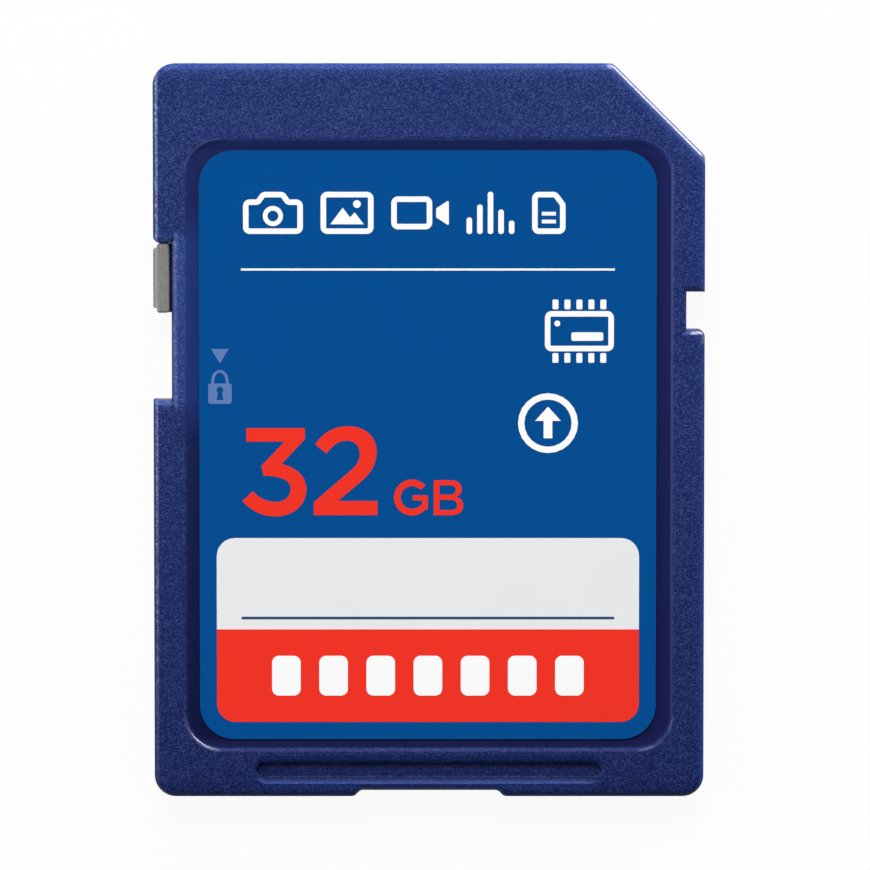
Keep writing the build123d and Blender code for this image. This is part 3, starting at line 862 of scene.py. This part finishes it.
def rounded(corners, radii):
    """A closed outline with its corners rounded, by one radius or one for each corner."""
    if not isinstance(radii, (list, tuple)):
        radii = [radii] * len(corners)
    points = []
    for index, (corner, radius) in enumerate(zip(corners, radii)):
        corner = Vector(corner)
        if not radius:
            points.append(tuple(corner))
            continue
        back = (Vector(corners[index - 1]) - corner).normalized()
        ahead = (Vector(corners[(index + 1) % len(corners)]) - corner).normalized()
        half = back.angle(ahead) / 2
        middle = corner + (back + ahead).normalized() * (radius / math.sin(half))
        first = corner + back * (radius / math.tan(half)) - middle
        last = corner + ahead * (radius / math.tan(half)) - middle
        start = math.degrees(math.atan2(first.y, first.x))
        turn = math.degrees(math.atan2(first.cross(last), first.dot(last)))
        points.extend(arc(middle, radius, start, start + turn))
    return points


def line_loop(path, width):
    """The two outlines of a line of this width round a closed path."""
    sides = ([], [])
    for index, point in enumerate(path):
        point = Vector(point)
        before = (point - Vector(path[index - 1])).normalized()
        after = (Vector(path[(index + 1) % len(path)]) - point).normalized()
        first = Vector((before.y, -before.x))
        second = Vector((after.y, -after.x))
        reach = (first + second) * (width / 2 / (1.0 + first.dot(second)))
        sides[0].append(tuple(point + reach))
        sides[1].append(tuple(point - reach))
    return list(sides)


def moved(shapes, x, y):
    """Shapes carried to another place."""
    return [[[(px + x, py + y) for px, py in loop] for loop in loops] for loops in shapes]


def layer_mesh(name, shapes, foot, top):
    """A thin closed layer in metres; each shape is an outer outline in millimetres with its holes."""
    work = bmesh.new()
    for loops in shapes:
        points = [point for loop in loops for point in loop]
        lower = [work.verts.new((x * MM, y * MM, foot)) for x, y in points]
        upper = [work.verts.new((x * MM, y * MM, top)) for x, y in points]
        flat = [[Vector((x, y, 0.0)) for x, y in loop] for loop in loops]
        for corners in tessellate_polygon(flat):
            work.faces.new([upper[index] for index in corners])
            work.faces.new([lower[index] for index in reversed(corners)])
        first = 0
        for loop in loops:
            for step in range(len(loop)):
                here = first + step
                there = first + (step + 1) % len(loop)
                work.faces.new((lower[here], lower[there], upper[there], upper[here]))
            first += len(loop)
    bmesh.ops.recalc_face_normals(work, faces=work.faces)
    mesh = bpy.data.meshes.new(name)
    work.to_mesh(mesh)
    work.free()
    return mesh


def link(name, data):
    """Puts an object in the scene."""
    made = bpy.data.objects.new(name, data)
    bpy.context.scene.collection.objects.link(made)
    return made


def place_piece(name, mesh):
    """Puts a printed piece on the card's body, with the label's slot."""
    piece = link(name, mesh)
    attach(piece, "card")


def ink_levels(layer):
    """Lower and upper level of a printed layer; layer 0 lies on the film."""
    ink = bpy.context.scene.card_label.ink
    foot = LABEL_HIGH.z + layer * ink
    return foot - INK_SINK * MM, foot + ink


def ink_material(ink_name):
    """The material of an ink, made once."""
    name = ink_name + "_ink"
    look = bpy.context.scene.card_label
    return bpy.data.materials.get(name) or printed_ink(name, getattr(look, ink_name))


def print_shapes(name, shapes, ink_name, place=(0.0, 0.0), layer=0):
    """Prints shapes, carried to a place in metres, in one of the label's inks."""
    mesh = layer_mesh(name, moved(shapes, in_mm(place[0]), in_mm(place[1])), *ink_levels(layer))
    mesh.materials.append(ink_material(ink_name))
    place_piece(name, mesh)


def mark_field_tree():
    """Geometry Nodes tree that sets one rounded ink mark on each point of an even field."""
    tree = bpy.data.node_groups.new("ink_mark_field", "GeometryNodeTree")
    kinds = {"Columns": "Int", "Rows": "Int", "Middle": "Vector", "Ink": "Material"}
    lengths = ("Field width", "Field height", "Mark width", "Mark height", "Mark corner", "Thickness")
    kinds.update(dict.fromkeys(lengths, "Float"))
    for name, kind in kinds.items():
        tree.interface.new_socket(name, in_out="INPUT", socket_type="NodeSocket" + kind)
    tree.interface.new_socket("Print", in_out="OUTPUT", socket_type="NodeSocketGeometry")
    start = Wire(tree)
    sockets = start.node("NodeGroupInput").socket.node.outputs
    given = {name: Wire(tree, sockets[name]) for name in kinds}

    def step(kind, settings=None, **inputs):
        named = {name.replace("_", " "): value for name, value in inputs.items()}
        return start.node("GeometryNode" + kind, settings, named)

    field = step(
        "MeshGrid",
        Size_X=given["Field width"],
        Size_Y=given["Field height"],
        Vertices_X=given["Columns"],
        Vertices_Y=given["Rows"],
    )
    rim = step("CurvePrimitiveQuadrilateral", Width=given["Mark width"], Height=given["Mark height"])
    rim = step("FilletCurve", {"mode": "POLY"}, Curve=rim, Count=MARK_STEPS, Radius=given["Mark corner"])
    face = step("FillCurve", {"mode": "NGONS"}, Curve=rim)
    raised = step("ExtrudeMesh", {"mode": "FACES"}, Mesh=face, Offset_Scale=given["Thickness"])
    mark = step("JoinGeometry", Geometry=[raised, step("FlipFaces", Mesh=face)])
    mark = step("MergeByDistance", Geometry=mark, Distance=MERGE_DISTANCE)
    marks = step("InstanceOnPoints", Points=field, Instance=mark)
    marks = step("Transform", Geometry=marks, Translation=given["Middle"])
    solid = step("RealizeInstances", Geometry=marks)
    solid = step("SetMaterial", Geometry=solid, Material=given["Ink"])
    start.node("NodeGroupOutput", None, {"Print": solid})
    return tree


def print_mark_field(name, values, place, layer=0):
    """Prints an even field of white marks with the Geometry Nodes tree and keeps it as a plain mesh."""
    foot, top = ink_levels(layer)
    values = {**values, "Thickness": top - foot, "Middle": (*place, foot), "Ink": ink_material("white")}
    tree = bpy.data.node_groups.get("ink_mark_field") or mark_field_tree()
    maker = link(name + "_maker", bpy.data.meshes.new(name + "_maker"))
    modifier = maker.modifiers.new("marks", "NODES")
    modifier.node_group = tree
    for item in tree.interface.items_tree:
        if item.in_out == "INPUT":
            modifier[item.identifier] = values[item.name]
    shown = maker.evaluated_get(bpy.context.evaluated_depsgraph_get())
    mesh = bpy.data.meshes.new_from_object(shown)
    mesh.name = name
    bpy.data.objects.remove(maker)
    place_piece(name, mesh)


def media_shapes(line):
    """Camera, picture, video, sound and page signs on a base line, each with its width."""
    edge = line / 2
    top = SIGN_HEIGHT - edge

    def drawn(corners):
        return line_loop(rounded(corners, SIGN_CORNER), line)

    right, shoulder = 2.60 - edge, 1.50 - edge
    body = [(edge, edge), (right, edge), (right, shoulder), (1.95, shoulder)]
    hump = [(1.72, top), (0.88, top), (0.65, shoulder), (edge, shoulder)]
    lens = [circle((1.30, 0.78), radius) for radius in (0.44, 0.44 - line * 0.85)]
    camera = [drawn(body + hump), lens]
    hills = [(0.42, 0.42), (1.88, 0.42), (1.48, 0.94), (1.28, 0.72), (0.96, 1.14)]
    picture = [drawn(box(edge, edge, 2.30 - edge, top)), [hills], [circle((1.58, 1.30), 0.17)]]
    horn = rounded([(1.95, 0.72), (2.50, 0.36), (2.50, 1.47), (1.95, 1.11)], 0.05)
    video = [drawn(box(edge, 0.20 + edge, 1.78 - edge, 1.63 - edge)), [horn]]
    lefts = [index * SOUND_PITCH for index in range(len(SOUND_BARS))]
    bars = [box(left, 0.0, left + line, height) for left, height in zip(lefts, SOUND_BARS)]
    sound = [[rounded(bar, line * 0.45)] for bar in bars]
    sheet = [(edge, edge), (1.45 - edge, edge), (1.45 - edge, 1.28), (1.00, top), (edge, top)]
    page = [drawn(sheet), [box(0.42, 0.46, 1.03, 0.62)], [box(0.42, 0.80, 1.03, 0.96)]]
    return [(camera, 2.60), (picture, 2.30), (video, 2.50), (sound, lefts[-1] + line), (page, 1.45)]


def numeral_three():
    """A figure three with a flat top, from its left edge and base line."""
    return outline(
        (0.177, 3.802), (0.177, 3.215), (1.841, 3.215), (0.828, 2.146), (0.924, 1.728),
        ((1.62, 1.728), (2.106, 1.54), (2.106, 1.166)), ((2.106, 0.83), (1.85, 0.579), (1.463, 0.579)),
        ((1.06, 0.579), (0.70, 0.75), (0.458, 1.045)), (0.0, 0.619),
        ((0.34, 0.22), (0.83, -0.056), (1.447, -0.056)), ((2.22, -0.056), (2.789, 0.45), (2.789, 1.125)),
        ((2.789, 1.70), (2.33, 2.10), (1.704, 2.235)), (2.725, 3.320), (2.725, 3.802),
    )


def numeral_two():
    """A figure two, from the left edge of the figure before it."""
    return outline(
        (3.111, 0.0), (5.884, 0.0), (5.884, 0.619), (4.156, 0.619), (5.16, 1.46),
        ((5.52, 1.77), (5.844, 2.14), (5.844, 2.773)), ((5.844, 3.44), (5.36, 3.883), (4.598, 3.883)),
        ((3.97, 3.883), (3.53, 3.60), (3.175, 3.095)), (3.658, 2.693),
        ((3.93, 3.04), (4.19, 3.256), (4.558, 3.256)), ((4.89, 3.256), (5.121, 3.04), (5.121, 2.693)),
        ((5.121, 2.43), (5.03, 2.22), (4.74, 1.965)), (3.111, 0.563),
    )


def unit_letters():
    """The letters of the unit, from the left edge of the numerals."""
    middle = (7.395, 0.772)
    bow = arc(middle, 0.79, 42.0, 318.0)
    hollow = arc(middle, 0.50, 42.0, 322.0)
    bar = [(8.079, 0.243), (8.079, 0.868), (7.427, 0.868), (7.427, 0.643), (7.838, 0.643), (7.838, 0.42)]
    second = outline(
        (8.336, 0.0), (9.08, 0.0),
        ((9.44, 0.0), (9.622, 0.17), (9.622, 0.42)), ((9.622, 0.62), (9.51, 0.74), (9.31, 0.80)),
        ((9.46, 0.86), (9.558, 0.97), (9.558, 1.14)), ((9.558, 1.38), (9.38, 1.527), (9.05, 1.527)),
        (8.336, 1.527),
    )
    upper = outline(
        (8.587, 0.895), (9.01, 0.895),
        ((9.20, 0.895), (9.305, 0.97), (9.305, 1.10)), ((9.305, 1.23), (9.21, 1.305), (9.02, 1.305)),
        (8.587, 1.305),
    )
    lower = outline(
        (8.587, 0.222), (9.07, 0.222),
        ((9.27, 0.222), (9.365, 0.31), (9.365, 0.45)), ((9.365, 0.59), (9.26, 0.673), (9.05, 0.673)),
        (8.587, 0.673),
    )
    return [[bow + bar + hollow[::-1]], [second, upper, lower]]


def lock_shapes():
    """An arrow head over a closed padlock, from the middle of the card's height."""
    arrow = [[(-0.384, 3.604), (0.384, 3.604), (0.0, 2.980)]]
    body = outline(
        (-0.411, 1.214), (0.411, 1.214), ((0.466, 1.214), (0.511, 1.259), (0.511, 1.314)),
        (0.511, 1.999), ((0.511, 2.054), (0.466, 2.099), (0.411, 2.099)), (0.374, 2.099), (0.374, 2.227),
        ((0.374, 2.483), (0.206, 2.690), (0.0, 2.690)), ((-0.206, 2.690), (-0.374, 2.483), (-0.374, 2.227)),
        (-0.374, 2.099), (-0.411, 2.099), ((-0.466, 2.099), (-0.511, 2.054), (-0.511, 1.999)),
        (-0.511, 1.314), ((-0.511, 1.259), (-0.466, 1.214), (-0.411, 1.214)),
    )[:-1]
    shackle = outline(
        (-0.257, 2.099), (0.257, 2.099), (0.257, 2.120),
        ((0.257, 2.374), (0.142, 2.579), (0.0, 2.579)), ((-0.142, 2.579), (-0.257, 2.374), (-0.257, 2.120)),
    )
    keyhole = arc((0.0, 1.812), 0.146, -52.0, 232.0) + [(-0.150, 1.376), (0.150, 1.376)]
    return [arrow, [body, shackle, keyhole]]


def insert_shapes(radius, line):
    """An arrow in a ring, from its middle."""
    ring = [circle((0.0, 0.0), radius), circle((0.0, 0.0), radius - line)]
    stem = [(-0.19, 0.10), (-0.19, -0.66), (0.19, -0.66), (0.19, 0.10)]
    return [ring, [[(0.0, 0.72), (-0.56, 0.10), *stem, (0.56, 0.10)]]]


def chip_shapes(width, height, line):
    """A chip's body with its first-pin mark and core, from its middle."""
    side = width / 2 - line / 2
    end = height / 2 - line / 2
    body = line_loop(rounded(box(-side, -end, side, end), SIGN_CORNER), line)
    mark = [circle((-side + CHIP_MARK_INSET, end - CHIP_MARK_INSET), CHIP_MARK_RADIUS)]
    return [body, mark, [rounded(box(-0.35, -0.42, side - 0.34, -0.05), 0.08)]]


class CARD_OT_shells(bpy.types.Operator):
    """Gives both shells their spark-eroded plastic and the front one its polished bed"""

    bl_idname = "card.shells"
    bl_label = "Shell plastic"

    def execute(self, context):
        look = context.scene.card_shell
        dress(["front_shell"], shell_plastic("front_shell_plastic", look, True))
        dress(["rear_shell"], shell_plastic("rear_shell_plastic", look, False))
        return {"FINISHED"}


class CARD_OT_slider(bpy.types.Operator):
    """Gives the lock slider its grey plastic"""

    bl_idname = "card.slider"
    bl_label = "Lock slider"

    def execute(self, context):
        dress(["lock_slider"], slider_plastic("slider_plastic", context.scene.card_slider))
        return {"FINISHED"}


class CARD_OT_board(bpy.types.Operator):
    """Finishes the board, contacts, chips and small parts"""

    bl_idname = "card.board"
    bl_label = "Board and contacts"

    def execute(self, context):
        look = context.scene.card_board
        dress(["circuit_board"], board_laminate("board_laminate", look))
        dress(nodes_named("contact_"), contact_gold("contact_gold", look))
        dress(CHIPS, package_resin("package_resin", look))
        for start, body in (("capacitor_", look.tan), ("resistor_", look.black)):
            for node in nodes_named(start):
                dress([node], small_part_finish(node, body, look))
        return {"FINISHED"}


class CARD_OT_film(bpy.types.Operator):
    """Gives the label its blue ground"""

    bl_idname = "card.film"
    bl_label = "Label film"

    def execute(self, context):
        dress(["front_label"], ink_material("film"))
        return {"FINISHED"}


class CARD_OT_fields(bpy.types.Operator):
    """Prints the writing panel and the red band"""

    bl_idname = "card.fields"
    bl_label = "Colour fields"

    def execute(self, context):
        sizes = context.scene.card_print
        side = in_mm(sizes.field_half_width)
        corner = in_mm(sizes.field_corner)
        joint = in_mm(sizes.panel_foot)
        panel = rounded(box(-side, joint, side, in_mm(sizes.panel_top)), [0, 0, corner, corner])
        band = rounded(box(-side, in_mm(sizes.band_foot), side, joint), [corner, corner, 0, 0])
        print_shapes("print_panel", [[panel]], "panel", (PRINT_X, 0.0))
        print_shapes("print_band", [[band]], "red", (PRINT_X, 0.0))
        return {"FINISHED"}


class CARD_OT_rules(bpy.types.Operator):
    """Prints the white rule under the signs and the navy rule on the panel"""

    bl_idname = "card.rules"
    bl_label = "Rules"

    def execute(self, context):
        sizes = context.scene.card_print
        side = in_mm(sizes.rule_half_width)
        for name, ink_name, layer in (("title_rule", "white", 0), ("panel_rule", "navy", 1)):
            level = getattr(sizes, name)
            width = getattr(sizes, name + "_width")
            rule = box(-side, in_mm(level - width / 2), side, in_mm(level + width / 2))
            print_shapes(name, [[rule]], ink_name, (PRINT_X, 0.0), layer)
        return {"FINISHED"}


class CARD_OT_capacity(bpy.types.Operator):
    """Prints the plain capacity number and its unit"""

    bl_idname = "card.capacity"
    bl_label = "Capacity"

    def execute(self, context):
        sizes = context.scene.card_print
        place = (sizes.capacity_left, sizes.capacity_foot)
        print_shapes("capacity_numerals", [[numeral_three()], [numeral_two()]], "red", place)
        print_shapes("capacity_unit", unit_letters(), "red", place)
        return {"FINISHED"}


class CARD_OT_signs(bpy.types.Operator):
    """Prints the lock signs, the row of media signs and the insert sign"""

    bl_idname = "card.signs"
    bl_label = "Signs"

    def execute(self, context):
        sizes = context.scene.card_print
        print_shapes("lock_sign", lock_shapes(), "lilac", (sizes.lock_x, 0.0))
        left = in_mm(sizes.media_left)
        row = []
        for shapes, width in media_shapes(in_mm(sizes.sign_line)):
            row.extend(moved(shapes, left, in_mm(sizes.media_foot)))
            left += width + in_mm(sizes.media_gap)
        print_shapes("media_signs", row, "white")
        insert = insert_shapes(in_mm(sizes.ring_radius), in_mm(sizes.ring_line))
        print_shapes("insert_sign", insert, "white", (sizes.ring_x, sizes.ring_y))
        return {"FINISHED"}


class CARD_OT_chip_sign(bpy.types.Operator):
    """Prints the chip sign with its rows of pins"""

    bl_idname = "card.chip_sign"
    bl_label = "Chip sign"

    def execute(self, context):
        sizes = context.scene.card_print
        place = (sizes.chip_x, sizes.chip_y)
        body = [in_mm(size) for size in (sizes.chip_width, sizes.chip_height, sizes.sign_line)]
        print_shapes("chip_sign", chip_shapes(*body), "white", place)
        pins = {
            "Columns": sizes.pin_columns,
            "Rows": 2,
            "Field width": sizes.pin_pitch * (sizes.pin_columns - 1),
            "Field height": sizes.chip_height + 2 * sizes.pin_gap + sizes.pin_length,
            "Mark width": sizes.pin_width,
            "Mark height": sizes.pin_length,
            "Mark corner": sizes.pin_width * PIN_CORNER,
        }
        print_mark_field("chip_sign_pins", pins, place)
        return {"FINISHED"}


class CARD_OT_perforations(bpy.types.Operator):
    """Prints the row of film perforations in the red band"""

    bl_idname = "card.perforations"
    bl_label = "Perforation row"

    def execute(self, context):
        sizes = context.scene.card_print
        marks = {
            "Columns": sizes.perforations,
            "Rows": 1,
            "Field width": sizes.perforation_pitch * (sizes.perforations - 1),
            "Field height": 0.0,
            "Mark width": sizes.perforation_width,
            "Mark height": sizes.perforation_height,
            "Mark corner": sizes.perforation_corner,
        }
        print_mark_field("perforation_row", marks, (PRINT_X, sizes.perforation_y), 1)
        return {"FINISHED"}


def floor_finish(value, bounce):
    """Pale floor, white to the camera and in reflections, that takes a shadow and throws little light."""
    material, tree = new_material("pale_floor")
    path = tree.node("ShaderNodeLightPath").socket.node.outputs
    seen = Wire(tree.tree, path["Is Camera Ray"])
    for name in ("Is Glossy Ray", "Is Transmission Ray"):
        seen = seen.most(Wire(tree.tree, path[name]))
    matt = tree.node("ShaderNodeBsdfDiffuse", None, {"Color": seen.blend(bounce, value)})
    glow = tree.node("ShaderNodeEmission", None, {"Color": grey(1.0), "Strength": 1.0})
    close_material(tree, tree.node("ShaderNodeMixShader", None, {0: seen * FLOOR_GLOW, 1: matt, 2: glow}))
    return material


def make_floor(look):
    """A wide plain floor just under the card."""
    work = bmesh.new()
    bmesh.ops.create_grid(work, x_segments=FLOOR_CUTS, y_segments=FLOOR_CUTS, size=FLOOR_HALF)
    for vertex in work.verts:
        vertex.co.z = CAD_BOX[0].z - FLOOR_GAP
    mesh = bpy.data.meshes.new("floor")
    work.to_mesh(mesh)
    work.free()
    mesh.materials.append(floor_finish(look.floor, look.bounce))
    floor = link("floor", mesh)


def make_sky():
    """Studio surroundings: pale at the horizon, dim overhead."""
    world = bpy.data.worlds.new("studio")
    world.use_nodes = True
    world.node_tree.nodes.clear()
    tree = Wire(world.node_tree)
    height = split(tree.node("ShaderNodeTexCoord", output="Generated"))[2]
    stops = [(0.0, grey(HORIZON)), (OVERHEAD_FROM, grey(OVERHEAD))]
    tone = tree.node("ShaderNodeValToRGB", {"stops": stops}, {"Fac": height}, "Color")
    glow = tree.node("ShaderNodeBackground", None, {"Color": tone, "Strength": 1.0})
    tree.node("ShaderNodeOutputWorld", None, {"Surface": glow})
    bpy.context.scene.world = world


def make_lamp(name, place, width, height, watts):
    """A soft box that faces the card's middle."""
    lamp = bpy.data.lights.new(name, "AREA")
    lamp.shape = "RECTANGLE"
    lamp.size = width
    lamp.size_y = height
    lamp.energy = watts
    made = link(name, lamp)
    made.location = place
    made.rotation_euler = (-Vector(place)).to_track_quat("-Z", "Y").to_euler()


def make_camera(look):
    """The camera over the label, leaning a little to the leading end."""
    lens = bpy.data.cameras.new("camera")
    lens.lens = look.lens
    lens.sensor_width = SENSOR
    camera = link("camera", lens)
    back = Vector((0.0, math.sin(look.tilt), math.cos(look.tilt)))
    camera.location = Vector((look.aim_x, look.aim_y, FRONT_HIGH.z)) + back * look.distance
    camera.rotation_euler = (-look.tilt, 0.0, 0.0)
    bpy.context.scene.camera = camera


class CARD_OT_stage(bpy.types.Operator):
    """Adds the floor, the lamps, the surroundings and the camera"""

    bl_idname = "card.stage"
    bl_label = "Stage"

    def execute(self, context):
        look = context.scene.card_stage
        make_floor(look)
        make_sky()
        for name, (place, width, height, source) in LAMPS.items():
            make_lamp(name, place, width, height, getattr(look, source))
        make_camera(look)
        context.scene.view_settings.view_transform = "Standard"
        return {"FINISHED"}


GROUPS = {
    "card_shell": CardShellLook,
    "card_label": CardLabelLook,
    "card_print": CardPrintSizes,
    "card_slider": CardSliderLook,
    "card_board": CardBoardLook,
    "card_stage": CardStageLook,
}
OPERATORS = (
    CARD_OT_shells,
    CARD_OT_slider,
    CARD_OT_board,
    CARD_OT_film,
    CARD_OT_fields,
    CARD_OT_rules,
    CARD_OT_capacity,
    CARD_OT_signs,
    CARD_OT_chip_sign,
    CARD_OT_perforations,
    CARD_OT_stage,
)


class CARD_PT_looks(bpy.types.Panel):
    """Lists the card's pieces with their sizes and colours"""

    bl_idname = "CARD_PT_looks"
    bl_label = "Memory card"
    bl_space_type = "VIEW_3D"
    bl_region_type = "UI"
    bl_category = "Memory card"

    def draw(self, context):
        for operator in OPERATORS:
            self.layout.operator(operator.bl_idname)
        for name, group in GROUPS.items():
            column = self.layout.column(heading=group.__doc__)
            for field in group.__annotations__:
                column.prop(getattr(context.scene, name), field)


def register():
    """Registers the classes and hangs the settings on the scene."""
    for group in GROUPS.values():
        bpy.utils.register_class(group)
    for name, group in GROUPS.items():
        setattr(bpy.types.Scene, name, PointerProperty(type=group))
    for operator in OPERATORS:
        bpy.utils.register_class(operator)
    bpy.utils.register_class(CARD_PT_looks)


def unregister():
    """Takes the settings and the classes away again."""
    bpy.utils.unregister_class(CARD_PT_looks)
    for operator in reversed(OPERATORS):
        bpy.utils.unregister_class(operator)
    for name in GROUPS:
        delattr(bpy.types.Scene, name)
    for group in reversed(GROUPS.values()):
        bpy.utils.unregister_class(group)


def main():
    """Builds the looks piece by piece and notes the sizes of the bare and the dressed card."""
    register()
    for operator in OPERATORS:
        maker, name = operator.bl_idname.split(".")
        getattr(getattr(bpy.ops, maker), name)()


if __name__ == "__main__":
    main()
